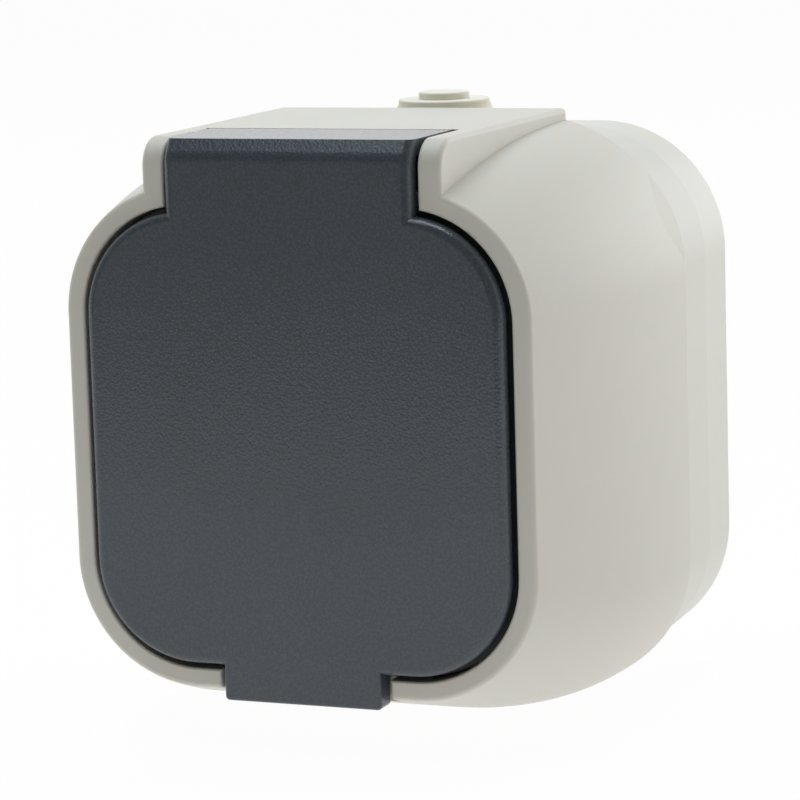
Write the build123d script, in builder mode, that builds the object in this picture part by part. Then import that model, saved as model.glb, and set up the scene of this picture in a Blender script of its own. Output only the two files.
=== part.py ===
from build123d import *

import os

# Outdoor surface-mounted socket with a sprung lid, standing out from the wall.
# X runs to the right, Y into the wall and Z up. The origin is on the wall, on the plug axis.
# A reach is a distance out from the wall, and a height is a Z value.

# Overall depth, and the joint between base and cover
total_depth = 63.0
base_depth = 18.0

# Lid opening and the rim around it
opening_width = 58.0
opening_height = 59.4
opening_r = 14.0
rim_width = 2.4
rim_edge_r = 0.65
rim_inner_r = 0.35

# Cover, which swells from the rim to where it meets the base
side_swell = 5.6
top_swell = 5.2
bottom_swell = 7.8
joint_top_r = 21.5
joint_bottom_r = 18.6
cover_wall = 2.2
flare_steps = 4
joint_edge_r = 0.4

# Hood over the hinge, which stands up from the top of the cover
hood_width = 40.4
hood_draft = 0.5
hood_rise = 0.9
hood_nose_r = 3.8
cheek = 3.0

# Base, which stands in from the cover and swells to a soft crease
base_side_step = 0.2
base_top_step = 2.35
base_bottom_step = 2.25
base_corner_r = 17.3
crease_reach = 9.8
crease_swell = 0.25
wall_draft = 0.25
base_wall = 2.2
back_wall = 2.2

# Tongue on the base and the groove with the gasket in the cover
flange_inset = 3.4
flange_thickness = 4.5
tongue_inset = 0.95
tongue_width = 1.2
tongue_height = 2.0
tongue_clearance = 0.15
gasket_thickness = 1.0

# Slots for the wall screws
wall_slot_spacing = 52.0
wall_slot_length = 8.0
wall_slot_width = 4.5
wall_collar = 1.4
wall_collar_height = 2.0

# Knock-out in the back for a cable that comes out of the wall
knockout_r = 9.0
knockout_height = 19.0
knockout_groove = 1.0
knockout_web = 0.7

# Cable entry in the top of the base, between the wall and the joint
entry_wall_margin = 1.2
entry_joint_margin = 0.4
entry_flange_width = 1.8
entry_flange_height = 1.65
entry_clearance = 0.1
entry_shoulder_step = 1.8
entry_shoulder_height = 2.8
entry_wide_tier_step = 0.15
entry_wide_tier_height = 0.75
entry_narrow_tier_step = 2.75
entry_narrow_tier_height = 0.95
entry_tier_edge_r = 0.25
entry_lip_grip = 0.6
entry_lip_height = 1.2
entry_membrane = 1.2

# Socket plate with the plug well
plate_setback = 2.8
plate_thickness = 2.2
plate_gap = 0.25
ledge_thickness = 2.2
well_r = 19.75
well_wall = 1.6
well_depth = 17.5
well_floor = 2.2
well_clearance = 0.4
well_mouth_chamfer = 0.8
guide_width = 5.4
guide_rise = 2.2
guide_setback = 5.0
pin_spacing = 19.0
pin_hole_r = 2.75

# Screws that draw plate, cover and base together, on one diagonal
cover_screw_side_inset = 7.5
cover_screw_end_inset = 8.5
cover_screw_r = 1.75
cover_head_r = 3.3
cover_head_height = 1.6
cover_screw_spare = 6.4
screw_clearance = 0.1
boss_wall = 2.2
boss_gap = 0.2
drive_width = 0.9
drive_depth = 0.8

# Contact carrier on its posts in the base
carrier_margin = 1.0
carrier_half_height = 13.5
carrier_corner_r = 2.5
carrier_tongue_half_width = 6.5
carrier_tongue_gap = 0.25
carrier_depth = 12.5
tower_height = 6.0
tower_wall = 0.6
tower_gap = 1.5
cap_gap = 0.3
cap_thickness = 1.7
carrier_screw_side_inset = 4.5
carrier_screw_end_inset = 4.0
carrier_screw_r = 1.5
carrier_head_r = 2.8
carrier_head_height = 1.8
carrier_screw_length = 16.0
carrier_seat = 6.0
post_wall = 1.9

# Contacts and terminals
sleeve_bore_r = 2.45
sleeve_wall = 0.75
sleeve_length = 14.0
sleeve_slit = 1.2
contact_clearance = 0.1
spring_ring_wall = 0.6
spring_ring_setback = 1.0
strip_thickness = 1.0
contact_strip_width = 6.0
pad_size = 8.0
terminal_gap = 0.5
earth_terminal_gap = 0.75
wire_gap = 1.6
clamp_thickness = 1.2
clamp_lip = 0.8
terminal_screw_r = 1.6
terminal_head_r = 2.7
terminal_head_height = 1.6
terminal_screw_length = 9.0

# Earth strap with a sprung clip above and below the well
strap_width = 6.0
strap_arm_drop = 3.5
clip_slot_width = 8.4
clip_slot_margin = 1.0
clip_bulge = 3.2
clip_bulge_drop = 4.5
clip_bulge_length = 7.0

# Hinge and its spring
hinge_setback = 7.5
hinge_drop = 3.6
pin_r = 1.2
pin_running_clearance = 0.05
pin_fit_clearance = 0.02
pin_blind_wall = 1.0
pin_end_gap = 0.2
pocket_clearance = 0.4
wire_r = 0.4
coil_clearance = 0.15
coil_pitch = 1.1
coil_full_turns = 3
coil_last_turn = 115.2
coil_room = 0.4
lid_leg = 3.8
ledge_leg = 4.2

# Lid
lid_proud = 1.3
lid_thickness = 2.2
lid_gap = 0.75
lid_edge_r = 1.2
lid_back_chamfer = 0.6
neck_gap = 0.5
neck_top_wall = 2.1
neck_tail = 6.0
neck_slope_length = 1.4
neck_slope_drop = 2.2
neck_nose_r = 3.0
tab_half_width = 10.75
tab_drop = 1.3
tab_thickness = 3.2
tab_corner_r = 0.6
tab_edge_r = 0.5
tab_gap = 0.9
seal_land = 0.85
seal_width = 2.8
seal_gap = 0.3
seal_ridge = 1.0
seal_ridge_height = 1.0

# Places that follow from the sizes above
rim_half_width = opening_width / 2 + rim_width
rim_half_height = opening_height / 2 + rim_width
rim_r = opening_r + rim_width
joint_half_width = rim_half_width + side_swell
joint_top = rim_half_height + top_swell
joint_bottom = rim_half_height + bottom_swell
hood_top = joint_top + hood_rise
cover_depth = total_depth - base_depth
flange_front = base_depth + flange_thickness
plate_face = total_depth - plate_setback
plate_back = plate_face - plate_thickness
ledge_back = plate_back - ledge_thickness
well_outer_r = well_r + well_wall
floor_face = plate_face - well_depth
floor_back = floor_face - well_floor
cap_front = floor_back - cap_gap
cap_back = cap_front - cap_thickness
tongue_top = base_depth + tongue_height
boss_r = cover_screw_r + screw_clearance + boss_wall
base_half_width = joint_half_width - base_side_step
base_top = joint_top - base_top_step
base_bottom = joint_bottom - base_bottom_step
base_crest = base_top + crease_swell
entry_flange_r = (base_depth - entry_wall_margin - entry_joint_margin) / 2
entry_reach = entry_wall_margin + entry_flange_r
entry_hole_r = entry_flange_r - entry_flange_width
entry_lip_r = entry_hole_r + entry_lip_grip
entry_shoulder_r = entry_flange_r - entry_shoulder_step
entry_wide_tier_r = entry_shoulder_r - entry_wide_tier_step
entry_narrow_tier_r = entry_wide_tier_r - entry_narrow_tier_step
entry_flange_top = base_crest + entry_flange_height
entry_shoulder_top = base_crest + entry_shoulder_height
entry_wide_tier_top = entry_shoulder_top + entry_wide_tier_height
entry_narrow_tier_top = entry_wide_tier_top + entry_narrow_tier_height
cover_screw_x = opening_width / 2 - cover_screw_side_inset
cover_screw_z = opening_height / 2 - cover_screw_end_inset
cover_screw_points = [(-cover_screw_x, cover_screw_z), (cover_screw_x, -cover_screw_z)]
cover_screw_seat = plate_face - cover_head_height
pin_points = [(-pin_spacing / 2, 0), (pin_spacing / 2, 0)]
sleeve_r = sleeve_bore_r + sleeve_wall
sleeve_back = cap_back - sleeve_length
ring_r = sleeve_r + spring_ring_wall
ring_bore_depth = tower_height - strip_thickness
arm_outer = well_r + strip_thickness / 2
arm_inner = arm_outer - strip_thickness
strap_arm_reach = plate_back - strap_arm_drop
tower_half_width = pin_spacing / 2 + ring_r + contact_clearance + tower_wall
terminal_x = tower_half_width + terminal_gap + pad_size / 2
earth_terminal_z = arm_inner - earth_terminal_gap - pad_size / 2
terminal_points = [(-terminal_x, 0), (terminal_x, 0), (0, earth_terminal_z)]
tower_half_height = earth_terminal_z - pad_size / 2 - tower_gap
carrier_half_width = terminal_x + pad_size / 2 + carrier_margin
carrier_tongue_top = arm_inner - carrier_tongue_gap
carrier_shelf = cap_back - tower_height
carrier_back = carrier_shelf - carrier_depth
carrier_screw_x = carrier_half_width - carrier_screw_side_inset
carrier_screw_z = carrier_half_height - carrier_screw_end_inset
carrier_screw_points = [(carrier_screw_x, carrier_screw_z), (-carrier_screw_x, -carrier_screw_z)]
clamp_back = carrier_shelf + strip_thickness + wire_gap
terminal_head_seat = clamp_back + clamp_thickness
hinge_reach = total_depth - hinge_setback
hinge_height = hood_top - hinge_drop
slot_half_width = hood_width / 2 - cheek
neck_half_width = slot_half_width - neck_gap
lid_face = total_depth + lid_proud
lid_back = lid_face - lid_thickness
neck_sweep_r = (hinge_drop**2 + neck_tail**2) ** 0.5
pocket_r = neck_sweep_r + pocket_clearance
groove_inset = tongue_inset - tongue_clearance
groove_width = tongue_width + 2 * tongue_clearance
coil_r = pin_r + coil_clearance + wire_r
coil_length = coil_pitch * (coil_full_turns + coil_last_turn / 360)
seal_inner_r = well_r + well_mouth_chamfer + seal_land


def facing(reach):
    """Plane parallel to the wall at this reach, with its normal to the front."""
    return Plane.XZ.offset(reach)


def outline(half_width, top, bottom, top_r, bottom_r, inset=0.0):
    """Rounded outline about the plug axis, drawn in the open sketch and drawn in by inset."""
    with Locations((0, (top - bottom) / 2)):
        Rectangle(2 * (half_width - inset), top + bottom - 2 * inset)
    fillet(vertices().group_by(Axis.Y)[-1], top_r - inset)
    fillet(vertices().group_by(Axis.Y)[0], bottom_r - inset)


def cover_outline(reach, inset=0.0):
    """Outline of the cover, which swells from the rim and runs straight into the joint."""
    left = (reach - base_depth) / cover_depth
    swell = 1 - left**2
    outline(
        rim_half_width + (joint_half_width - rim_half_width) * swell,
        rim_half_height + (joint_top - rim_half_height) * swell,
        rim_half_height + (joint_bottom - rim_half_height) * swell,
        rim_r + (joint_top_r - rim_r) * swell,
        rim_r + (joint_bottom_r - rim_r) * swell,
        inset,
    )


def base_outline(inset=0.0):
    """Outline of the base where it meets the cover."""
    outline(base_half_width, base_top, base_bottom, base_corner_r, base_corner_r, inset)


def base_ring(inset, width):
    """Ring of one width that follows the base outline."""
    base_outline(inset)
    offset(amount=-width, mode=Mode.SUBTRACT)


def block(low_x, high_x, low_z, high_z):
    """Rectangle in a sketch that faces the front, given by its edges."""
    with Locations(((low_x + high_x) / 2, (low_z + high_z) / 2)):
        Rectangle(high_x - low_x, high_z - low_z)


def slotted_screws(points, seat, head_r, head_height, shank_r, length):
    """Pan screws that are driven from the front, with their heads on one seat."""
    with BuildPart() as screws:
        with BuildSketch(facing(seat)):
            with Locations(*points):
                Circle(head_r)
        extrude(amount=head_height)
        with BuildSketch(facing(seat)):
            with Locations(*points):
                Circle(shank_r)
        extrude(amount=-length)
        with BuildSketch(facing(seat + head_height)):
            with Locations(*points):
                Rectangle(2 * head_r, drive_width)
        extrude(amount=-drive_depth, mode=Mode.SUBTRACT)
    return screws


def write(piece, name):
    """Label a finished piece and write it to its own file."""
    piece.part.label = name
    export_step(piece.part, f"parts/{name}.step")


os.makedirs("parts", exist_ok=True)

# Base box: a tray on the wall with posts, screw slots and the cable entry
with BuildPart() as base_box:
    with BuildSketch(facing(0)):
        base_outline(wall_draft - crease_swell)
    with BuildSketch(facing(crease_reach)):
        base_outline(-crease_swell)
    with BuildSketch(facing(base_depth)):
        base_outline()
    loft(ruled=True)
    with BuildSketch(facing(back_wall)):
        base_outline(base_wall)
    extrude(amount=base_depth, mode=Mode.SUBTRACT)
    with BuildSketch(facing(base_depth)):
        base_ring(tongue_inset, tongue_width)
    extrude(amount=tongue_height)
    with BuildSketch(facing(back_wall)):
        with Locations(*cover_screw_points):
            Circle(boss_r)
    extrude(amount=tongue_top - back_wall)
    with BuildSketch(facing(back_wall)):
        with Locations(*carrier_screw_points):
            Circle(carrier_screw_r + screw_clearance + post_wall)
    extrude(amount=carrier_back - back_wall)
    with BuildSketch(facing(back_wall)):
        with GridLocations(wall_slot_spacing, 0, 2, 1):
            SlotOverall(wall_slot_length + 2 * wall_collar, wall_slot_width + 2 * wall_collar)
    extrude(amount=wall_collar_height)
    with BuildSketch(facing(back_wall + wall_collar_height)):
        with GridLocations(wall_slot_spacing, 0, 2, 1):
            SlotOverall(wall_slot_length, wall_slot_width)
    extrude(amount=-back_wall - wall_collar_height, mode=Mode.SUBTRACT)
    with BuildSketch(facing(0)):
        with Locations((0, knockout_height)):
            Circle(knockout_r)
            Circle(knockout_r - knockout_groove, mode=Mode.SUBTRACT)
    extrude(amount=back_wall - knockout_web, mode=Mode.SUBTRACT)
    with BuildSketch(facing(tongue_top)):
        with Locations(*cover_screw_points):
            Circle(cover_screw_r + screw_clearance)
    extrude(amount=back_wall - tongue_top, mode=Mode.SUBTRACT)
    with BuildSketch(facing(carrier_back)):
        with Locations(*carrier_screw_points):
            Circle(carrier_screw_r + screw_clearance)
    extrude(amount=back_wall - carrier_back, mode=Mode.SUBTRACT)
    with BuildSketch(Plane.XY.offset(base_crest)):
        with Locations((0, -entry_reach)):
            Circle(entry_hole_r)
    extrude(amount=-base_wall - 2 * crease_swell, mode=Mode.SUBTRACT)
write(base_box, "base_box")

# Gasket at the bottom of the groove in the cover, on top of the tongue
with BuildPart() as joint_gasket:
    with BuildSketch(facing(tongue_top)):
        base_ring(groove_inset + contact_clearance, groove_width - 2 * contact_clearance)
    extrude(amount=gasket_thickness)
write(joint_gasket, "joint_gasket")

# Membrane in the cable entry, with tiers to cut to the cable's size
with BuildPart() as cable_grommet:
    with BuildSketch(Plane.XZ.offset(entry_reach)):
        with BuildLine():
            Polyline(
                (entry_shoulder_r, entry_shoulder_top),
                (entry_wide_tier_r, entry_shoulder_top),
                (entry_wide_tier_r, entry_wide_tier_top),
                (entry_narrow_tier_r, entry_wide_tier_top),
                (entry_narrow_tier_r, entry_narrow_tier_top),
                (0, entry_narrow_tier_top),
                (0, entry_shoulder_top - entry_membrane),
                (entry_hole_r - 2 * entry_lip_height, entry_shoulder_top - entry_membrane),
                (entry_hole_r - 2 * entry_lip_height, base_top - base_wall - entry_lip_height),
                (entry_lip_r - entry_lip_height, base_top - base_wall - entry_lip_height),
                (entry_lip_r, base_top - base_wall),
                (entry_hole_r - entry_clearance, base_top - base_wall),
                (entry_hole_r - entry_clearance, base_crest),
                (entry_flange_r, base_crest),
                (entry_flange_r, entry_flange_top),
            )
            Bezier(
                (entry_flange_r, entry_flange_top),
                (entry_shoulder_r, entry_flange_top),
                (entry_shoulder_r, entry_shoulder_top),
            )
        make_face()
    revolve(axis=Axis((0, -entry_reach, 0), (0, 0, 1)))
    tier_rims = cable_grommet.edges().filter_by(GeomType.CIRCLE).group_by(Axis.Z)[-2:]
    fillet([rims.sort_by(SortBy.RADIUS)[-1] for rims in tier_rims], entry_tier_edge_r)
write(cable_grommet, "cable_grommet")

# Front cover: a swelling shell with the rim, the hood and the pocket for the hinge
with BuildPart() as front_cover:
    for step in range(flare_steps + 1):
        section_reach = total_depth - step * cover_depth / flare_steps
        with BuildSketch(facing(section_reach)):
            cover_outline(section_reach)
    loft()
    with BuildSketch(facing(total_depth)):
        block(-hood_width / 2, hood_width / 2, 0, hood_top)
    with BuildSketch(facing(base_depth)):
        block(-hood_width / 2 - hood_draft, hood_width / 2 + hood_draft, 0, hood_top)
    loft()
    hood_nose = front_cover.edges().filter_by(Axis.X).sort_by(lambda e: e.center().Z - e.center().Y)[-1]
    fillet(hood_nose, hood_nose_r)
    front_face = front_cover.faces().filter_by(Axis.Y).sort_by(Axis.Y)[0]
    rim_edges = front_face.edges().sort_by(lambda e: e.center().Z - abs(e.center().X))[:-1]
    fillet(rim_edges, rim_edge_r)
    joint_edges = front_cover.faces().filter_by(Axis.Y).sort_by(Axis.Y)[-1].edges()
    fillet(joint_edges, joint_edge_r)
    # Hollow inside, in the shell and in the hood behind the hinge pocket
    for step in range(flare_steps + 1):
        section_reach = ledge_back - step * (ledge_back - flange_front) / flare_steps
        with BuildSketch(facing(section_reach)):
            cover_outline(section_reach, cover_wall)
    loft(mode=Mode.SUBTRACT)
    with BuildSketch(facing(flange_front)):
        block(-slot_half_width, slot_half_width, 0, hood_top - cover_wall)
    extrude(amount=hinge_reach - pocket_r - cover_wall - flange_front, mode=Mode.SUBTRACT)
    # Flange at the joint, with the groove that takes the tongue and the gasket
    with BuildSketch(facing(base_depth)):
        base_outline(flange_inset)
    extrude(amount=flange_thickness, mode=Mode.SUBTRACT)
    with BuildSketch(facing(base_depth)):
        base_ring(groove_inset, groove_width)
    extrude(amount=tongue_height + gasket_thickness, mode=Mode.SUBTRACT)
    # Wall around the hinge pocket, behind the ledge
    with BuildSketch(Plane.YZ):
        with Locations((-hinge_reach, hinge_height)):
            Circle(pocket_r + cover_wall)
        with Locations((-hinge_reach + pocket_r, hinge_height - pocket_r)):
            Rectangle(
                2 * (pocket_r + ledge_back - hinge_reach),
                2 * (pocket_r + hinge_drop),
                mode=Mode.INTERSECT,
            )
    extrude(amount=slot_half_width + cheek / 2, both=True)
    # Lid opening down to the ledge, and the way through the ledge for the well
    with BuildSketch(facing(plate_back)):
        RectangleRounded(opening_width, opening_height, opening_r)
    extrude(amount=total_depth - plate_back, mode=Mode.SUBTRACT)
    with BuildSketch(facing(ledge_back)):
        Circle(well_outer_r + well_clearance)
    extrude(amount=ledge_thickness, mode=Mode.SUBTRACT)
    # Hinge pocket, open to the front and top and swept by the end of the neck
    with BuildSketch(Plane.YZ):
        with Locations((-hinge_reach, hinge_height)):
            Circle(pocket_r)
        with Locations((-ledge_back, opening_height / 2)):
            Rectangle(
                2 * pocket_r,
                2 * pocket_r,
                align=(Align.MAX, Align.MAX),
                mode=Mode.SUBTRACT,
            )
        with Locations((-hinge_reach, opening_height / 2 - lid_gap)):
            Rectangle(2 * hinge_setback, 2 * hinge_setback, align=(Align.MAX, Align.MIN))
    extrude(amount=slot_half_width, both=True, mode=Mode.SUBTRACT)
    # Notch in the bottom of the rim for the lifting tab
    with BuildSketch(facing(total_depth)):
        with Locations((0, -opening_height / 2 + opening_r)):
            Rectangle(
                2 * (tab_half_width + tab_gap),
                2 * opening_r,
                align=(Align.CENTER, Align.MAX),
            )
    extrude(amount=lid_proud - tab_thickness - tab_gap, mode=Mode.SUBTRACT)
    inner_walls = front_cover.faces().filter_by(lambda f: round(f.normal_at().Y, 3) == 0)
    mouth_edges = inner_walls.edges().filter_by_position(Axis.Y, -total_depth, -total_depth)
    fillet(mouth_edges, rim_inner_r)
    # Bosses for the cover screws, from the ledge to the posts in the base
    with BuildSketch(facing(tongue_top + boss_gap)):
        with Locations(*cover_screw_points):
            Circle(boss_r)
    extrude(amount=ledge_back - tongue_top - boss_gap)
    with BuildSketch(facing(plate_back)):
        with Locations(*cover_screw_points):
            Circle(cover_screw_r + screw_clearance)
    extrude(amount=tongue_top - plate_back, mode=Mode.SUBTRACT)
    # Bores for the hinge pin: through the left cheek and blind in the right one
    with BuildSketch(Plane.YZ.offset(-hood_width / 2 - hood_draft)):
        with Locations((-hinge_reach, hinge_height)):
            Circle(pin_r + pin_fit_clearance)
    extrude(amount=hood_width + hood_draft - pin_blind_wall, mode=Mode.SUBTRACT)
write(front_cover, "front_cover")

# Socket plate with the well for the plug
with BuildPart() as socket_plate:
    with BuildSketch(facing(plate_back)):
        RectangleRounded(
            opening_width - 2 * plate_gap,
            opening_height - 2 * plate_gap,
            opening_r - plate_gap,
        )
    extrude(amount=plate_thickness)
    with BuildSketch(facing(floor_back)):
        Circle(well_outer_r)
    extrude(amount=plate_back - floor_back)
    with BuildSketch(facing(floor_face)):
        Circle(well_r)
    extrude(amount=well_depth, mode=Mode.SUBTRACT)
    well_mouth = socket_plate.faces().sort_by(Axis.Y)[0].edges().filter_by(GeomType.CIRCLE).sort_by(SortBy.RADIUS)[-1]
    chamfer(well_mouth, well_mouth_chamfer)
    # Side guides for the plug's grooves
    with BuildSketch(facing(floor_face)):
        Circle(well_r + well_wall / 2)
        Rectangle(2 * well_outer_r, guide_width, mode=Mode.INTERSECT)
        Circle(well_r - guide_rise, mode=Mode.SUBTRACT)
    extrude(amount=well_depth - guide_setback)
    # Holes for the plug's pins and slots for the earth clips
    with BuildSketch(facing(floor_back)):
        with Locations(*pin_points):
            Circle(pin_hole_r)
    extrude(amount=well_floor, mode=Mode.SUBTRACT)
    with BuildSketch(facing(floor_back)):
        Rectangle(clip_slot_width, 2 * well_outer_r)
        Rectangle(clip_slot_width, 2 * (well_r - clip_bulge - clip_slot_margin), mode=Mode.SUBTRACT)
    extrude(amount=strap_arm_reach + clip_slot_margin - floor_back, mode=Mode.SUBTRACT)
    # Recesses for the heads of the cover screws
    with BuildSketch(facing(plate_face)):
        with Locations(*cover_screw_points):
            Circle(cover_head_r + screw_clearance)
    extrude(amount=-cover_head_height, mode=Mode.SUBTRACT)
    with BuildSketch(facing(plate_face)):
        with Locations(*cover_screw_points):
            Circle(cover_screw_r + screw_clearance)
    extrude(amount=-plate_thickness, mode=Mode.SUBTRACT)
write(socket_plate, "socket_plate")

cover_screws = slotted_screws(
    cover_screw_points,
    cover_screw_seat,
    cover_head_r,
    cover_head_height,
    cover_screw_r,
    cover_screw_seat - back_wall - cover_screw_spare,
)
write(cover_screws, "cover_screws")

# Contact carrier: a hollow moulding with a tower around the contacts
with BuildPart() as contact_carrier:
    with BuildSketch(facing(carrier_back)):
        Rectangle(2 * carrier_half_width, 2 * carrier_half_height)
        fillet(vertices(), carrier_corner_r)
        block(-carrier_tongue_half_width, carrier_tongue_half_width, 0, carrier_tongue_top)
    extrude(amount=carrier_shelf - carrier_back)
    with BuildSketch(facing(carrier_shelf)):
        Rectangle(2 * tower_half_width, 2 * tower_half_height)
        fillet(vertices(), carrier_corner_r)
    extrude(amount=cap_back - carrier_shelf)
    # Bores for the contact sleeves and the spring rings around their mouths
    with BuildSketch(facing(sleeve_back)):
        with Locations(*pin_points):
            Circle(sleeve_r + contact_clearance)
    extrude(amount=sleeve_length, mode=Mode.SUBTRACT)
    with BuildSketch(facing(cap_back)):
        with Locations(*pin_points):
            Circle(ring_r + contact_clearance)
    extrude(amount=-ring_bore_depth, mode=Mode.SUBTRACT)
    # Ways out of the tower for the contact strips and the earth strap
    with BuildSketch(facing(carrier_shelf)):
        with GridLocations(pin_spacing + contact_strip_width, 0, 2, 1):
            Rectangle(2 * terminal_x - pin_spacing, contact_strip_width + 2 * contact_clearance)
        Rectangle(strap_width + 2 * contact_clearance, 2 * carrier_half_height)
    extrude(amount=cap_back - carrier_shelf, mode=Mode.SUBTRACT)
    # Bores under the terminals, and the seats and bores of the fixing screws
    with BuildSketch(facing(carrier_shelf)):
        with Locations(*terminal_points):
            Circle(terminal_screw_r + screw_clearance)
    extrude(amount=-terminal_screw_length, mode=Mode.SUBTRACT)
    with BuildSketch(facing(carrier_shelf)):
        with Locations(*carrier_screw_points):
            Circle(carrier_head_r + screw_clearance)
    extrude(amount=carrier_back + carrier_seat - carrier_shelf, mode=Mode.SUBTRACT)
    with BuildSketch(facing(carrier_back)):
        with Locations(*carrier_screw_points):
            Circle(carrier_screw_r + screw_clearance)
    extrude(amount=carrier_seat, mode=Mode.SUBTRACT)
write(contact_carrier, "contact_carrier")

carrier_screws = slotted_screws(
    carrier_screw_points,
    carrier_back + carrier_seat,
    carrier_head_r,
    carrier_head_height,
    carrier_screw_r,
    carrier_screw_length,
)
write(carrier_screws, "carrier_screws")

# Cap that keeps the contacts and the strap in the carrier
with BuildPart() as carrier_cap:
    with BuildSketch(facing(cap_back)):
        Rectangle(2 * tower_half_width, 2 * tower_half_height)
        fillet(vertices(), carrier_corner_r)
        with Locations(*pin_points):
            Circle(pin_hole_r, mode=Mode.SUBTRACT)
    extrude(amount=cap_thickness)
write(carrier_cap, "carrier_cap")


def pin_contact(side):
    """Split sleeve for one pin, with a strip out to its terminal."""
    with BuildPart() as contact:
        with BuildSketch(facing(sleeve_back)):
            with Locations((side * pin_spacing / 2, 0)):
                Circle(sleeve_r)
                Circle(sleeve_bore_r, mode=Mode.SUBTRACT)
            with Locations((side * (pin_spacing / 2 - sleeve_r), 0)):
                Rectangle(2 * sleeve_wall + sleeve_slit, sleeve_slit, mode=Mode.SUBTRACT)
        extrude(amount=sleeve_length)
        strip_start = pin_spacing / 2 + sleeve_bore_r + sleeve_wall / 2
        strip_end = terminal_x + pad_size / 2
        with BuildSketch(facing(carrier_shelf)):
            with Locations((side * (strip_start + strip_end) / 2, 0)):
                Rectangle(strip_end - strip_start, contact_strip_width)
            with Locations((side * terminal_x, 0)):
                Circle(terminal_screw_r + screw_clearance, mode=Mode.SUBTRACT)
        extrude(amount=strip_thickness)
    return contact


write(pin_contact(-1), "line_contact")
write(pin_contact(1), "neutral_contact")

# Spring rings that press the split sleeves on the pins
with BuildPart() as contact_springs:
    with BuildSketch(facing(cap_back - ring_bore_depth)):
        with Locations(*pin_points):
            Circle(ring_r)
            Circle(sleeve_r, mode=Mode.SUBTRACT)
        Rectangle(pin_spacing - 2 * sleeve_bore_r, sleeve_slit, mode=Mode.SUBTRACT)
    extrude(amount=ring_bore_depth - spring_ring_setback)
write(contact_springs, "contact_springs")

# Earth strap: a bar behind the well with an arm up each side of it and a bulged clip on each arm
bulge_mid = strap_arm_reach - clip_bulge_drop
bulge_inner = well_r - clip_bulge
with BuildPart() as earth_strap:
    with BuildSketch(Plane.YZ):
        with BuildLine():
            Polyline(
                (-carrier_shelf, 0),
                (-carrier_shelf, arm_outer),
                (-bulge_mid + clip_bulge_length / 2, arm_outer),
                (-bulge_mid, bulge_inner + strip_thickness),
                (-strap_arm_reach, arm_inner),
                (-strap_arm_reach, arm_inner - strip_thickness),
                (-bulge_mid, bulge_inner),
                (-bulge_mid + clip_bulge_length / 2, arm_inner),
                (-carrier_shelf - strip_thickness, arm_inner),
                (-carrier_shelf - strip_thickness, 0),
                close=True,
            )
        make_face()
        mirror(about=Plane.XZ)
    extrude(amount=strap_width / 2, both=True)
    with BuildSketch(facing(carrier_shelf)):
        with Locations((0, earth_terminal_z)):
            Rectangle(pad_size, pad_size)
    extrude(amount=strip_thickness)
    with BuildSketch(facing(carrier_shelf)):
        with Locations((0, earth_terminal_z)):
            Circle(terminal_screw_r + screw_clearance)
    extrude(amount=strip_thickness, mode=Mode.SUBTRACT)
write(earth_strap, "earth_strap")

# Clamp plates under the terminal screws, with a lip at each side to keep the wire in
for name, point in zip(("line_clamp", "neutral_clamp", "earth_clamp"), terminal_points):
    with BuildPart() as clamp:
        with BuildSketch(facing(clamp_back)):
            with Locations(point):
                Rectangle(pad_size, pad_size)
        extrude(amount=clamp_thickness)
        with BuildSketch(facing(clamp_back)):
            with Locations(point):
                with GridLocations(pad_size - clamp_lip, 0, 2, 1):
                    Rectangle(clamp_lip, pad_size)
        extrude(amount=-clamp_lip)
        with BuildSketch(facing(clamp_back)):
            with Locations(point):
                Circle(terminal_screw_r + screw_clearance)
        extrude(amount=clamp_thickness, mode=Mode.SUBTRACT)
    write(clamp, name)

terminal_screws = slotted_screws(
    terminal_points,
    terminal_head_seat,
    terminal_head_r,
    terminal_head_height,
    terminal_screw_r,
    terminal_screw_length,
)
write(terminal_screws, "terminal_screws")

# Hinge pin, pushed in from the left
with BuildPart() as hinge_pin:
    with BuildSketch(Plane.YZ.offset(-hood_width / 2 + pin_end_gap)):
        with Locations((-hinge_reach, hinge_height)):
            Circle(pin_r)
    extrude(amount=hood_width - pin_blind_wall - 2 * pin_end_gap)
write(hinge_pin, "hinge_pin")

# Torsion spring around the pin, with one leg under the lid's neck and one on the ledge
with BuildPart() as hinge_spring:
    with BuildLine() as coil:
        Helix(coil_pitch, coil_length, coil_r, (-coil_length / 2, -hinge_reach, hinge_height), (1, 0, 0))
    coil_start = Plane(coil.line @ 0, z_dir=coil.line % 0)
    coil_end = Plane(coil.line @ 1, z_dir=coil.line % 1)
    with BuildSketch(coil_start):
        Circle(wire_r)
    sweep(path=coil.line)
    with BuildSketch(coil_start):
        Circle(wire_r)
    extrude(amount=-lid_leg)
    with BuildSketch(coil_end):
        Circle(wire_r)
    extrude(amount=ledge_leg)
write(hinge_spring, "hinge_spring")

# Lifting tab at the bottom of the lid, thicker where it stands in the notch of the rim
lid_half_width = opening_width / 2 - lid_gap
lid_half_height = opening_height / 2 - lid_gap
tab_bottom = rim_half_height + tab_drop
with BuildPart() as lifting_tab:
    with BuildSketch(facing(lid_face)):
        block(-tab_half_width, tab_half_width, -tab_bottom, -lid_half_height + opening_r)
        fillet(vertices().group_by(Axis.Y)[0], tab_corner_r)
    extrude(amount=-lid_thickness)
    with BuildSketch(facing(lid_face)):
        block(-tab_half_width, tab_half_width, -tab_bottom, -lid_half_height)
        fillet(vertices().group_by(Axis.Y)[0], tab_corner_r)
    extrude(amount=-tab_thickness)
    tab_front = lifting_tab.faces().filter_by(Axis.Y).sort_by(Axis.Y)[0]
    fillet(tab_front.edges().sort_by(Axis.Z)[:-1], tab_edge_r)

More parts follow.
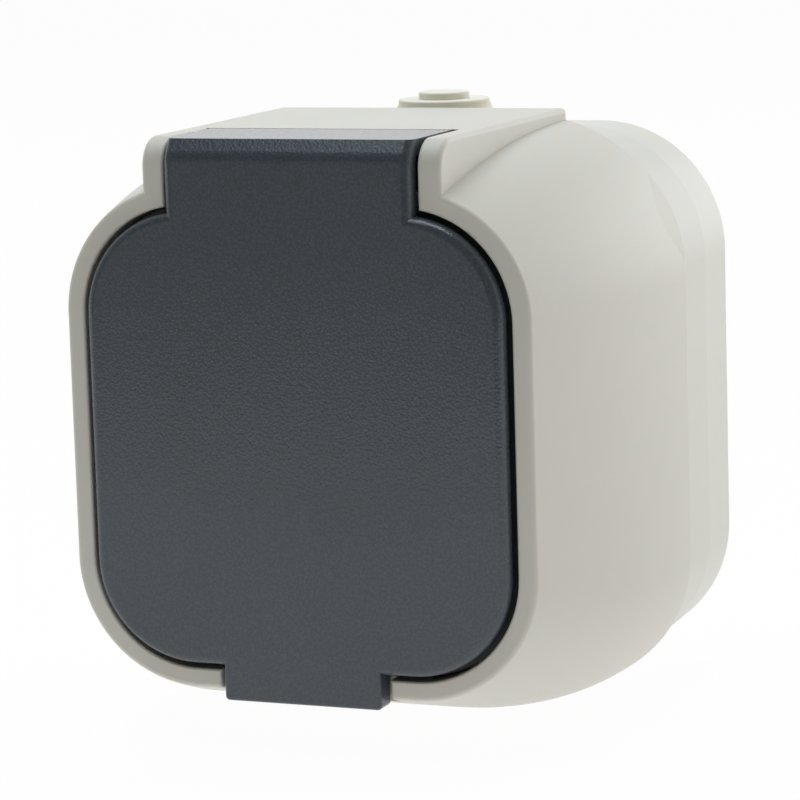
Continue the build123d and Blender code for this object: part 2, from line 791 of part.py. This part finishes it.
# Lid with its neck, hinge barrels and lifting tab
coil_half_room = coil_length / 2 + wire_r + coil_room
with BuildPart() as lid:
    with BuildSketch(facing(lid_back)):
        RectangleRounded(2 * lid_half_width, 2 * lid_half_height, opening_r - lid_gap)
    extrude(amount=lid_thickness)
    lid_back_edges = lid.faces().sort_by(Axis.Y)[-1].edges()
    chamfer(lid_back_edges, lid_back_chamfer)
    with BuildSketch(facing(lid_back)):
        block(-neck_half_width, neck_half_width, 0, hood_top)
    extrude(amount=lid_thickness)
    # Top of the neck, back to its end behind the pin
    with BuildSketch(Plane.YZ):
        with Locations((-lid_face, hood_top)):
            Rectangle(
                lid_face - hinge_reach + neck_tail,
                neck_top_wall,
                align=(Align.MIN, Align.MAX),
            )
    extrude(amount=neck_half_width, both=True)
    neck_top = lid.faces().sort_by(Axis.Z)[-1]
    neck_edge = neck_top.edges().sort_by(Axis.Y)[0]
    chamfer(neck_edge, neck_slope_length, neck_slope_drop, reference=neck_top)
    neck_nose = lid.faces().sort_by(Axis.Y)[0].edges().sort_by(Axis.Z)[-1]
    fillet(neck_nose, neck_nose_r)
    lid_front = lid.faces().filter_by(Axis.Y).sort_by(Axis.Y)[0]
    lid_front_edges = lid_front.edges().sort_by(lambda e: e.center().Z - abs(e.center().X))[:-1]
    fillet(lid_front_edges, lid_edge_r)
    add(lifting_tab)
    # Hinge barrels each side of the spring
    with BuildSketch(Plane.YZ):
        with Locations((-hinge_reach, hinge_height)):
            Circle(hinge_drop)
    extrude(amount=neck_half_width, both=True)
    coil_top = coil_r + wire_r + contact_clearance
    with BuildSketch(Plane.YZ):
        with Locations((-hinge_reach - hinge_drop, hinge_height + coil_top)):
            Rectangle(2 * hinge_drop + neck_tail, hinge_drop + coil_top, align=(Align.MIN, Align.MAX))
    extrude(amount=coil_half_room, both=True, mode=Mode.SUBTRACT)
    with BuildSketch(Plane.YZ):
        with Locations((-hinge_reach, hinge_height)):
            Circle(pin_r + pin_running_clearance)
    extrude(amount=neck_half_width, both=True, mode=Mode.SUBTRACT)
    # Ridge that centres the seal
    with BuildSketch(facing(lid_back)):
        Circle(seal_inner_r + seal_width + seal_ridge)
        Circle(seal_inner_r + seal_width + contact_clearance, mode=Mode.SUBTRACT)
    extrude(amount=-seal_ridge_height)
write(lid, "lid")

# Seal on the back of the lid, which closes on the socket plate
with BuildPart() as lid_seal:
    with BuildSketch(facing(lid_back)):
        Circle(seal_inner_r + seal_width)
        Circle(seal_inner_r, mode=Mode.SUBTRACT)
    extrude(amount=plate_face + seal_gap - lid_back)
write(lid_seal, "lid_seal")
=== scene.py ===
"""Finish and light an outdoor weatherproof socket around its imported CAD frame."""

import logging
import math
from dataclasses import dataclass, field, replace
from enum import Enum
from typing import Any

import bmesh
import bpy
from mathutils import Matrix, Vector, geometry

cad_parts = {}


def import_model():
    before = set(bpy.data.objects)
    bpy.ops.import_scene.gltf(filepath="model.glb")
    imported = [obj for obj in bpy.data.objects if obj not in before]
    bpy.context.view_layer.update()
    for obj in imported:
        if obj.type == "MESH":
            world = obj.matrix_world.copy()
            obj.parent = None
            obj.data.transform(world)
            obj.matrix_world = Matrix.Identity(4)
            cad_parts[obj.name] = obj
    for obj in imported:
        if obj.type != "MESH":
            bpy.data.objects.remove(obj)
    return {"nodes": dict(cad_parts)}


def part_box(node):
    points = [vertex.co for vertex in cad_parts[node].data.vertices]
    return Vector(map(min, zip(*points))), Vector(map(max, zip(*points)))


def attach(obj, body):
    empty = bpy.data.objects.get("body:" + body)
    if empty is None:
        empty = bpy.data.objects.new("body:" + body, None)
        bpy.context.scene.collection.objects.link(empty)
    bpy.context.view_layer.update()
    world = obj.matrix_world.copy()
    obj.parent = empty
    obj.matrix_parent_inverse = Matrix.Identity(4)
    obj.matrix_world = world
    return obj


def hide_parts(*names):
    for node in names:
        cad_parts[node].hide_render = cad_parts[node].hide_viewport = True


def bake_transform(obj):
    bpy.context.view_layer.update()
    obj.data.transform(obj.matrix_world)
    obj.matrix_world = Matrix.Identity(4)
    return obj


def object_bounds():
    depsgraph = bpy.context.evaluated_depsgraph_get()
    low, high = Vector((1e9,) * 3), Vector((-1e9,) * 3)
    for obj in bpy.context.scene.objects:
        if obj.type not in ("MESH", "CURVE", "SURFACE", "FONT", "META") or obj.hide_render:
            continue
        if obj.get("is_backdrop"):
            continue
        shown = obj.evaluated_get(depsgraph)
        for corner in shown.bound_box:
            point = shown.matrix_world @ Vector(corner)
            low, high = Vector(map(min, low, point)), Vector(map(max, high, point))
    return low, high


LOG = logging.getLogger("socket")
MM = 0.001
WHITE = (1.0, 1.0, 1.0, 1.0)

Link = tuple[bpy.types.Node, str]


def linear(hex_code: str) -> tuple[float, float, float, float]:
    """Turn an sRGB hex value into the linear colour that a shader socket takes.

    Args:
        hex_code: six hex digits, such as "d4d3cd".

    Returns:
        Red, green, blue and an alpha of 1.
    """
    channels = []
    for start in (0, 2, 4):
        value = int(hex_code[start:start + 2], 16) / 255
        channels.append(value / 12.92 if value <= 0.04045 else ((value + 0.055) / 1.055) ** 2.4)
    return (channels[0], channels[1], channels[2], 1.0)


def outward(azimuth: float, elevation: float) -> Vector:
    """Find the direction from the object to a lamp or a camera.

    Args:
        azimuth: degrees from straight in front, to the right.
        elevation: degrees above the level.

    Returns:
        The direction, of length 1.
    """
    turn, lift = math.radians(azimuth), math.radians(elevation)
    return Vector((math.sin(turn) * math.cos(lift), -math.cos(turn) * math.cos(lift), math.sin(lift)))


def add_node(tree: bpy.types.NodeTree, kind: str, settings: dict[str, Any], **inputs: Any) -> bpy.types.Node:
    """Add one node with its settings, its input values and its input links.

    Args:
        tree: the node tree that takes the node.
        kind: the node's type, such as "ShaderNodeBump".
        settings: attributes of the node itself.
        inputs: one entry for each input, by its name with underscores for spaces, or by its
            identifier where two share a name: a value, or a link to another node's output.

    Returns:
        The new node.
    """
    node = tree.nodes.new(kind)
    for name, value in settings.items():
        setattr(node, name, value)
    for name, value in inputs.items():
        label = name.replace("_", " ")
        socket = next(
            entry for entry in node.inputs
            if entry.enabled and (entry.identifier == name or entry.name == label)
        )
        if isinstance(value, tuple) and isinstance(value[0], bpy.types.Node):
            source = next(entry for entry in value[0].outputs if entry.name == value[1] and entry.enabled)
            tree.links.new(source, socket)
        else:
            socket.default_value = value
    return node


class Texture(Enum):
    """What the tool or the press left on a surface."""

    SPARKED = "fine pits of a spark-eroded mould"
    LEATHER = "etched leather grain"
    MATT = "even matt skin of moulded rubber"
    DRAWN = "fine lines along drawn or rolled metal"


@dataclass(frozen=True)
class Finish:
    """One real material with the way its surface was made.

    Pits and drawn lines are finer on real pieces. Here they are as coarse as they need to be to show.
    """

    name: str
    colour: str
    drift_colour: str
    drift_mm: float
    texture: Texture
    texture_mm: float
    relief_mm: float
    roughness: float
    roughness_spread: float
    metallic: float = 0.0
    ior: float = 1.5
    glow_through: float = 0.0
    glow_depth_mm: float = 0.6
    vein_painted_shade: float = 0.0
    vein_height: float = 0.6
    drift_detail: float = 3.0
    drift_band: tuple[float, float] = (0.3, 0.7)
    pit_detail: float = 4.0
    skin_detail: float = 1.0
    line_detail: float = 2.0
    line_squeeze: float = 0.05
    grain_smoothness: float = 0.6

    def material(self) -> bpy.types.Material:
        """Build the finish as a node material.

        Returns:
            The material, named for the finish.
        """
        material = bpy.data.materials.new(self.name)
        material.use_nodes = True
        tree = material.node_tree
        tree.nodes.clear()
        place = add_node(tree, "ShaderNodeTexCoord", {})
        height = self._height(tree, place)
        rough = add_node(
            tree, "ShaderNodeMapRange", {}, Value=height,
            To_Min=self.roughness - self.roughness_spread, To_Max=self.roughness + self.roughness_spread,
        )
        bump = add_node(tree, "ShaderNodeBump", {}, Height=height, Strength=1.0, Distance=self.relief_mm * MM)
        shader = add_node(
            tree, "ShaderNodeBsdfPrincipled", {}, Base_Color=self._paint(tree, place, height),
            Roughness=(rough, "Result"), Normal=(bump, "Normal"), Metallic=self.metallic, IOR=self.ior,
        )
        if self.glow_through:
            shader.inputs["Subsurface Weight"].default_value = self.glow_through
            shader.inputs["Subsurface Scale"].default_value = self.glow_depth_mm * MM
        add_node(tree, "ShaderNodeOutputMaterial", {}, Surface=(shader, "BSDF"))
        return material

    def _paint(self, tree: bpy.types.NodeTree, place: bpy.types.Node, height: Link) -> Link:
        """Add the colour, with its slow drift and the darker veins of a grain, which are partly the grain's
        own tone and partly painted shade of its relief.

        Args:
            tree: the material's node tree.
            place: the node with the object's coordinates.
            height: the output that holds the height of the texture.

        Returns:
            The output that holds the colour.
        """
        drift = add_node(
            tree, "ShaderNodeTexNoise", {}, Vector=(place, "Object"),
            Scale=1 / (self.drift_mm * MM), Detail=self.drift_detail,
        )
        colour = add_node(tree, "ShaderNodeValToRGB", {}, Fac=(drift, "Fac"))
        stops = colour.color_ramp.elements
        for stop, code, position in zip(stops, (self.drift_colour, self.colour), self.drift_band):
            stop.color = linear(code)
            stop.position = position
        if not self.vein_painted_shade:
            return (colour, "Color")
        # The lines between the grain's cells are darkened: partly the grain's own tone, partly painted shade
        # of its relief.
        shade = add_node(
            tree, "ShaderNodeMapRange", {}, Value=height,
            From_Max=self.vein_height, To_Min=1.0, To_Max=1 - self.vein_painted_shade,
        )
        shaded = add_node(
            tree, "ShaderNodeMix", {"data_type": "RGBA", "blend_type": "MULTIPLY"},
            Factor=1.0, A=(colour, "Color"), B=(shade, "Result"),
        )
        return (shaded, "Result")

    def _height(self, tree: bpy.types.NodeTree, place: bpy.types.Node) -> Link:
        """Add the nodes that draw the height of the texture.

        Args:
            tree: the material's node tree.
            place: the node with the object's coordinates.

        Returns:
            The output that holds the height.
        """
        spots: Link = (place, "Object")
        scale = 1 / (self.texture_mm * MM)
        if self.texture is Texture.LEATHER:
            cells = add_node(
                tree, "ShaderNodeTexVoronoi", {"feature": "SMOOTH_F1"}, Vector=spots, Scale=scale,
                Smoothness=self.grain_smoothness, Randomness=1.0,
            )
            return (cells, "Distance")
        detail = self.pit_detail if self.texture is Texture.SPARKED else self.skin_detail
        if self.texture is Texture.DRAWN:
            detail = self.line_detail
            along = add_node(
                tree, "ShaderNodeMapping", {}, Vector=spots, Scale=(self.line_squeeze, 1.0, 1.0),
            )
            spots = (along, "Vector")
        noise = add_node(tree, "ShaderNodeTexNoise", {}, Vector=spots, Scale=scale, Detail=detail)
        return (noise, "Fac")


# ASA from a lightly spark-eroded mould is satin, with soft warm edges where it is thin.
HOUSING_ASA = Finish(
    name="moulded_light_grey_asa", colour="d3d0c7", drift_colour="d0cdc3", drift_mm=30,
    texture=Texture.SPARKED, texture_mm=0.35, relief_mm=0.006, roughness=0.46, roughness_spread=0.05,
    ior=1.52, glow_through=0.15,
)
# The base is the same plastic as the cover, painted a shade lighter and more neutral: painted light for the
# light from behind and the sheen on its sides.
BASE_ASA_PAINTED_LIGHT = replace(
    HOUSING_ASA, name="moulded_grey_asa_painted_lighter", colour="d9d7d0", drift_colour="d6d4cc",
)
# The lid's mould is etched with a leather grain, which breaks up the sheen of the dark plastic. The lines
# between its cells are painted darker: partly the grain's own tone, partly painted shade.
LID_ASA = Finish(
    name="leather_grained_slate_asa", colour="505860", drift_colour="4c545c", drift_mm=22,
    texture=Texture.LEATHER, texture_mm=0.36, relief_mm=0.018, roughness=0.18, roughness_spread=0.03,
    ior=1.52, vein_painted_shade=0.3,
)
# The plate under the lid is painted dark slate, a shade darker than the lid and from a smoother mould:
# painted shade, so that the gap round the lid looks deep and black.
PLATE_ASA_PAINTED_SHADE = Finish(
    name="slate_asa_painted_dark_for_gap_shade", colour="42484d", drift_colour="3f4549", drift_mm=22,
    texture=Texture.SPARKED, texture_mm=0.35, relief_mm=0.006, roughness=0.42, roughness_spread=0.05,
    ior=1.52,
)
# The thermoset around the contacts is off white, and a little duller than the housing.
CARRIER_RESIN = Finish(
    name="moulded_urea_resin", colour="e4e1d6", drift_colour="dfdbcf", drift_mm=12,
    texture=Texture.SPARKED, texture_mm=0.4, relief_mm=0.008, roughness=0.5, roughness_spread=0.06,
    ior=1.55,
)
# The soft membrane is matt and creamy, painted a little lighter for the light that the hood's top throws onto
# it, and light gets a little way into its thin steps.
ENTRY_TPE_PAINTED_BOUNCE = Finish(
    name="moulded_grey_tpe_painted_lighter", colour="ece9dc", drift_colour="e8e5d7", drift_mm=8,
    texture=Texture.MATT, texture_mm=0.3, relief_mm=0.01, roughness=0.62, roughness_spread=0.05,
    ior=1.48, glow_through=0.2,
)
# Seal rubber is black and dull, with hardly a highlight.
SEAL_EPDM = Finish(
    name="moulded_black_epdm", colour="242424", drift_colour="2b2b2a", drift_mm=6,
    texture=Texture.MATT, texture_mm=0.25, relief_mm=0.012, roughness=0.7, roughness_spread=0.06,
)
# Brass strip keeps the lines of the rolling mill, which draw its highlights out.
CONTACT_BRASS = Finish(
    name="stamped_brass_strip", colour="d9b465", drift_colour="c99f52", drift_mm=5,
    texture=Texture.DRAWN, texture_mm=0.12, relief_mm=0.003, roughness=0.3, roughness_spread=0.08,
    metallic=1.0,
)
# Nickel on rolled strip is warmer and brighter than zinc.
EARTH_STEEL = Finish(
    name="nickel_plated_strip", colour="c9c6bf", drift_colour="bdb9b0", drift_mm=6,
    texture=Texture.DRAWN, texture_mm=0.12, relief_mm=0.003, roughness=0.28, roughness_spread=0.07,
    metallic=1.0,
)
# Zinc on steel is a cool grey that clouds over in small patches.
PLATED_STEEL = Finish(
    name="zinc_plated_steel", colour="c4c5c6", drift_colour="b4b6b9", drift_mm=3,
    texture=Texture.DRAWN, texture_mm=0.15, relief_mm=0.004, roughness=0.34, roughness_spread=0.08,
    metallic=1.0,
)
# Spring wire is bare and darker, with the lines of the die it was drawn through.
SPRING_STEEL = Finish(
    name="drawn_spring_wire", colour="a3a4a6", drift_colour="8f9194", drift_mm=2,
    texture=Texture.DRAWN, texture_mm=0.1, relief_mm=0.003, roughness=0.3, roughness_spread=0.08,
    metallic=1.0,
)


@dataclass
class SubAssembly:
    """A group of CAD nodes that are finished together."""

    title: str
    finishes: dict[str, Finish]

    def dress(self, nodes: dict[str, bpy.types.Object], store: dict[str, bpy.types.Material]) -> None:
        """Give each node of the group its finish.

        Args:
            nodes: the CAD nodes of the frame, by name.
            store: the materials made so far, by finish name.
        """
        for name, finish in self.finishes.items():
            if finish.name not in store:
                store[finish.name] = finish.material()
            data = nodes[name].data
            data.materials.clear()
            data.materials.append(store[finish.name])
            LOG.info("%s: %s in %s", self.title, name, finish.name)


@dataclass
class Housing(SubAssembly):
    """Base box, front cover, plate and the rubber pieces between and in them."""

    title: str = "housing"
    finishes: dict[str, Finish] = field(default_factory=lambda: {
        "base_box": BASE_ASA_PAINTED_LIGHT,
        "front_cover": HOUSING_ASA,
        "socket_plate": PLATE_ASA_PAINTED_SHADE,
        "cable_grommet": ENTRY_TPE_PAINTED_BOUNCE,
        "joint_gasket": SEAL_EPDM,
    })


@dataclass
class HingedLid(SubAssembly):
    """Lid with its seal, its pin and the spring that shuts it."""

    title: str = "lid"
    finishes: dict[str, Finish] = field(default_factory=lambda: {
        "lid": LID_ASA,
        "lid_seal": SEAL_EPDM,
        "hinge_pin": PLATED_STEEL,
        "hinge_spring": SPRING_STEEL,
    })


@dataclass
class ContactBlock(SubAssembly):
    """Carrier with its contacts, clamps and earth strap."""

    title: str = "contact block"
    finishes: dict[str, Finish] = field(default_factory=lambda: {
        "contact_carrier": CARRIER_RESIN,
        "carrier_cap": CARRIER_RESIN,
        "line_contact": CONTACT_BRASS,
        "neutral_contact": CONTACT_BRASS,
        "contact_springs": SPRING_STEEL,
        "earth_strap": EARTH_STEEL,
        "line_clamp": PLATED_STEEL,
        "neutral_clamp": PLATED_STEEL,
        "earth_clamp": PLATED_STEEL,
    })


@dataclass
class Fixings(SubAssembly):
    """Screws that hold the pieces together."""

    title: str = "fixings"
    finishes: dict[str, Finish] = field(default_factory=lambda: {
        "cover_screws": PLATED_STEEL,
        "carrier_screws": PLATED_STEEL,
        "terminal_screws": PLATED_STEEL,
    })


@dataclass(frozen=True)
class JointLip:
    """Shallow ramp that brings the cover up to the base at the corners, where the base stands proud."""

    radius_mm: float = 0.6
    inset_mm: float = 0.5
    reach_mm: float = 10.0
    face_depth_mm: float = 0.02
    bevel_steps: int = 8

    def build(self, base: bpy.types.Object, material: bpy.types.Material) -> bpy.types.Object:
        """Run the lip along the base's outline at its joint with the cover.

        Args:
            base: the base box, whose flat joint face carries the lip.
            material: the cover's own plastic.

        Returns:
            The lip's object.
        """
        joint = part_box("front_cover")[1].y
        mesh = self._round(self._outline(base, joint), joint)
        for spot in mesh.vertices:
            ahead = min((joint - spot.co.y) / (self.radius_mm * MM), 1.0)
            if ahead > 0:
                # The front of the round becomes an even slope, so that it fades into the cover.
                spot.co.y = joint - self.reach_mm * MM * (1 - math.sqrt(1 - ahead ** 2))
        mesh.materials.clear()
        mesh.materials.append(material)
        lip = bpy.data.objects.new("joint_lip", mesh)
        bpy.context.scene.collection.objects.link(lip)
        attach(lip, "housing")
        return lip

    def _outline(self, base: bpy.types.Object, joint: float) -> list[Vector]:
        """Read the base's outline on its joint face, drawn in by the inset.

        Args:
            base: the base box.
            joint: the face's place along Y, in metres.

        Returns:
            The outline's points in order, as X and Z.
        """
        near = self.face_depth_mm * MM
        face = [
            Vector((spot.co.x, spot.co.z)) for spot in base.data.vertices
            if abs(spot.co.y - joint) < near
        ]
        outline = [face[index] for index in geometry.convex_hull_2d(face)]
        shrink = 1 - self.inset_mm * MM / max(spot.x for spot in outline)
        return [spot * shrink for spot in outline]

    def _round(self, outline: list[Vector], joint: float) -> bpy.types.Mesh:
        """Bend a round bar along the outline.

        Args:
            outline: the points that the bar's middle follows.
            joint: the bar's place along Y, in metres.

        Returns:
            The bar's mesh.
        """
        curve = bpy.data.curves.new("joint_lip", "CURVE")
        curve.dimensions = "3D"
        curve.bevel_depth = self.radius_mm * MM
        curve.bevel_resolution = self.bevel_steps
        route = curve.splines.new("POLY")
        route.use_cyclic_u = True
        route.points.add(len(outline) - 1)
        for point, spot in zip(route.points, outline):
            point.co = (spot.x, joint, spot.y, 1.0)
        carrier = bpy.data.objects.new("joint_lip_route", curve)
        mesh = bpy.data.meshes.new_from_object(carrier)
        bpy.data.objects.remove(carrier)
        return mesh


@dataclass(frozen=True)
class WoundSpring:
    """Torsion spring between the housing and the lid, whose real coil winds up as the lid opens."""

    coil_half_mm: float = 1.4
    merge_mm: float = 0.0005
    sharp_angle: float = 40.0

    def build(self, node: bpy.types.Object, material: bpy.types.Material) -> bpy.types.Object:
        """Stand a copy of the CAD spring in its place, with its loose points merged and its shading smoothed,
        and hide the CAD spring.

        Args:
            node: the CAD spring, one leg on the lid and one on the ledge.
            material: the spring's wire.

        Returns:
            The spring's object.
        """
        shape = bmesh.new()
        shape.from_mesh(node.data)
        bmesh.ops.remove_doubles(shape, verts=shape.verts, dist=self.merge_mm * MM)
        mesh = bpy.data.meshes.new("wound_spring")
        shape.to_mesh(mesh)
        shape.free()
        mesh.materials.clear()
        mesh.materials.append(material)
        mesh.shade_smooth()
        mesh.set_sharp_from_angle(angle=math.radians(self.sharp_angle))
        spring = bpy.data.objects.new("wound_spring", mesh)
        bpy.context.scene.collection.objects.link(spring)
        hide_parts("hinge_spring")
        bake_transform(spring)
        return spring


@dataclass(frozen=True)
class Softbox:
    """One square lamp that faces the object."""

    name: str
    azimuth: float
    elevation: float
    distance_mm: float
    size_mm: float
    watts: float
    colour: str = "ffffff"

    def build(self, aim: Vector) -> None:
        """Hang the lamp.

        Args:
            aim: the point that it faces, in metres.
        """
        lamp = bpy.data.lights.new(self.name, "AREA")
        lamp.shape = "SQUARE"
        lamp.size = self.size_mm * MM
        lamp.energy = self.watts
        lamp.color = linear(self.colour)[:3]
        holder = bpy.data.objects.new(self.name, lamp)
        out = outward(self.azimuth, self.elevation)
        holder.location = aim + out * self.distance_mm * MM
        holder.rotation_euler = out.to_track_quat("Z", "Y").to_euler()
        bpy.context.scene.collection.objects.link(holder)


@dataclass
class Studio:
    """Light table in a bright tent that is open to the front, with soft lamps."""

    floor_half_width_mm: float = 3000.0
    floor_front_mm: float = 330.0
    floor_colour: str = "f2f2f0"
    floor_white_share: float = 0.965
    table_glow_share: float = 0.56
    table_glow_level: float = 1.2
    tent_level: float = 1.0
    opening_level: float = 0.06
    opening_colour: str = "fff3c8"
    opening_tilt: float = 25.0
    opening_edge: tuple[float, float] = (-0.85, 0.54)
    lamps: tuple[Softbox, ...] = (
        Softbox(
            "top_softbox", azimuth=-80, elevation=82, distance_mm=900, size_mm=700, watts=5.6,
            colour="e8f3ff",
        ),
        Softbox(
            "high_softbox", azimuth=-22, elevation=56, distance_mm=600, size_mm=200, watts=0.16,
            colour="e8f6ff",
        ),
        Softbox(
            "right_softbox", azimuth=154, elevation=6, distance_mm=900, size_mm=600, watts=2.3,
            colour="f3f9ff",
        ),
        Softbox("front_softbox", azimuth=-24, elevation=2, distance_mm=600, size_mm=240, watts=0.055),
    )

    def build(self, low: Vector, high: Vector) -> None:
        """Set up the floor, the surroundings and the lamps around the object's box.

        Args:
            low: lowest corner of the object, in metres.
            high: highest corner of the object, in metres.
        """
        self._floor(low.z)
        self._surround()
        for lamp in self.lamps:
            lamp.build((low + high) / 2)
            LOG.info("studio: %s", lamp.name)
        bpy.context.scene.view_settings.view_transform = "Standard"

    def _floor(self, level: float) -> None:
        """Lay the floor at one level.

        Args:
            level: height of the floor, in metres.
        """
        mesh = bpy.data.meshes.new("floor")
        shape = bmesh.new()
        bmesh.ops.create_grid(shape, x_segments=1, y_segments=1, size=self.floor_half_width_mm * MM)
        behind = (self.floor_half_width_mm - self.floor_front_mm) * MM
        bmesh.ops.translate(shape, verts=shape.verts, vec=(0, behind, level))
        shape.to_mesh(mesh)
        shape.free()
        floor = bpy.data.objects.new("floor", mesh)
        bpy.context.scene.collection.objects.link(floor)
        mesh.materials.append(self._paper())
        floor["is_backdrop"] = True

    def _paper(self) -> bpy.types.Material:
        """Make the floor's paper, which is lit from below and looks almost white.

        Returns:
            The paper's material.
        """
        material = bpy.data.materials.new("matt_white_paper")
        material.use_nodes = True
        tree = material.node_tree
        tree.nodes.clear()
        paper = add_node(tree, "ShaderNodeBsdfDiffuse", {}, Color=linear(self.floor_colour))
        # 1 for rays that show the floor itself, and 0 for its light on the object.
        path = add_node(tree, "ShaderNodeLightPath", {})
        direct = add_node(
            tree, "ShaderNodeMath", {"operation": "MAXIMUM"},
            Value=(path, "Is Camera Ray"), Value_001=(path, "Is Glossy Ray"),
        )
        seen = add_node(
            tree, "ShaderNodeMath", {"operation": "MAXIMUM"},
            Value=(direct, "Value"), Value_001=(path, "Is Transmission Ray"),
        )
        glow = add_node(
            tree, "ShaderNodeMapRange", {}, Value=(seen, "Value"), To_Min=self.table_glow_level, To_Max=1.0,
        )
        white = add_node(tree, "ShaderNodeEmission", {}, Color=WHITE, Strength=(glow, "Result"))
        share = add_node(
            tree, "ShaderNodeMapRange", {}, Value=(seen, "Value"),
            To_Min=self.table_glow_share, To_Max=self.floor_white_share,
        )
        mix = add_node(
            tree, "ShaderNodeMixShader", {},
            Fac=(share, "Result"), Shader=(paper, "BSDF"), Shader_001=(white, "Emission"),
        )
        add_node(tree, "ShaderNodeOutputMaterial", {}, Surface=(mix, "Shader"))
        return material

    def _surround(self) -> None:
        """Make the surroundings a white tent, with a dark opening to the front and a little up."""
        world = bpy.data.worlds.new("studio")
        world.use_nodes = True
        tree = world.node_tree
        tree.nodes.clear()
        towards = add_node(tree, "ShaderNodeTexCoord", {})
        tilted = add_node(
            tree, "ShaderNodeMapping", {}, Vector=(towards, "Generated"),
            Rotation=(math.radians(self.opening_tilt), 0, 0),
        )
        depth = add_node(tree, "ShaderNodeSeparateXYZ", {}, Vector=(tilted, "Vector"))
        cloth = add_node(
            tree, "ShaderNodeMapRange", {"interpolation_type": "SMOOTHSTEP"}, Value=(depth, "Y"),
            From_Min=self.opening_edge[0], From_Max=self.opening_edge[1],
        )
        # A camera behind the object sees white cloth too. Light and reflections find the opening,
        # which gives the dark lid its sheen.
        path = add_node(tree, "ShaderNodeLightPath", {})
        direct = add_node(
            tree, "ShaderNodeMath", {"operation": "MAXIMUM"},
            Value=(path, "Is Camera Ray"), Value_001=(path, "Is Transmission Ray"),
        )
        white = add_node(
            tree, "ShaderNodeMath", {"operation": "MAXIMUM"},
            Value=(direct, "Value"), Value_001=(cloth, "Result"),
        )
        level = add_node(
            tree, "ShaderNodeMapRange", {}, Value=(white, "Value"),
            To_Min=self.opening_level, To_Max=self.tent_level,
        )
        tint = add_node(
            tree, "ShaderNodeMix", {"data_type": "RGBA"}, Factor=(white, "Value"),
            A=linear(self.opening_colour), B=WHITE,
        )
        light = add_node(tree, "ShaderNodeBackground", {}, Color=(tint, "Result"), Strength=(level, "Result"))
        add_node(tree, "ShaderNodeOutputWorld", {}, Surface=(light, "Background"))
        bpy.context.scene.world = world


@dataclass(frozen=True)
class PhotoCamera:
    """Camera at the photograph's place and angle."""

    place_mm: tuple[float, float, float] = (182.69, -474.67, 78.26)
    azimuth: float = 22.275
    elevation: float = 9.224
    roll: float = 1.728
    focal_px: float = 3651.0
    image_px: float = 800.0
    sensor_mm: float = 36.0

    def build(self) -> None:
        """Place the camera and make it the scene's own."""
        data = bpy.data.cameras.new("photo_camera")
        data.sensor_width = self.sensor_mm
        data.lens = self.sensor_mm * self.focal_px / self.image_px
        camera = bpy.data.objects.new("photo_camera", data)
        turn, tilt = math.radians(self.azimuth), math.radians(self.roll)
        back = outward(self.azimuth, self.elevation)
        level_right = Vector((math.cos(turn), math.sin(turn), 0))
        level_up = back.cross(level_right)
        right = math.cos(tilt) * level_right - math.sin(tilt) * level_up
        up = math.sin(tilt) * level_right + math.cos(tilt) * level_up
        stance = Matrix((right, up, back)).transposed().to_4x4()
        camera.matrix_world = Matrix.Translation(Vector(self.place_mm) * MM) @ stance
        bpy.context.scene.collection.objects.link(camera)
        bpy.context.scene.camera = camera


def main() -> None:
    """Load the frame, finish every piece, and set up the studio and the camera."""
    logging.basicConfig(level=logging.INFO, format="%(message)s")
    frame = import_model()
    cad_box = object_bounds()
    nodes = frame["nodes"]
    store: dict[str, bpy.types.Material] = {}
    for group in (Housing(), HingedLid(), ContactBlock(), Fixings()):
        group.dress(nodes, store)
    lip = JointLip().build(nodes["base_box"], store[HOUSING_ASA.name])
    spring = WoundSpring().build(nodes["hinge_spring"], store[SPRING_STEEL.name])
    for piece in (lip, spring):
        LOG.info("added: %s in %s", piece.name, piece.data.materials[0].name)
    Studio().build(*cad_box)
    PhotoCamera().build()


if __name__ == "__main__":
    main()
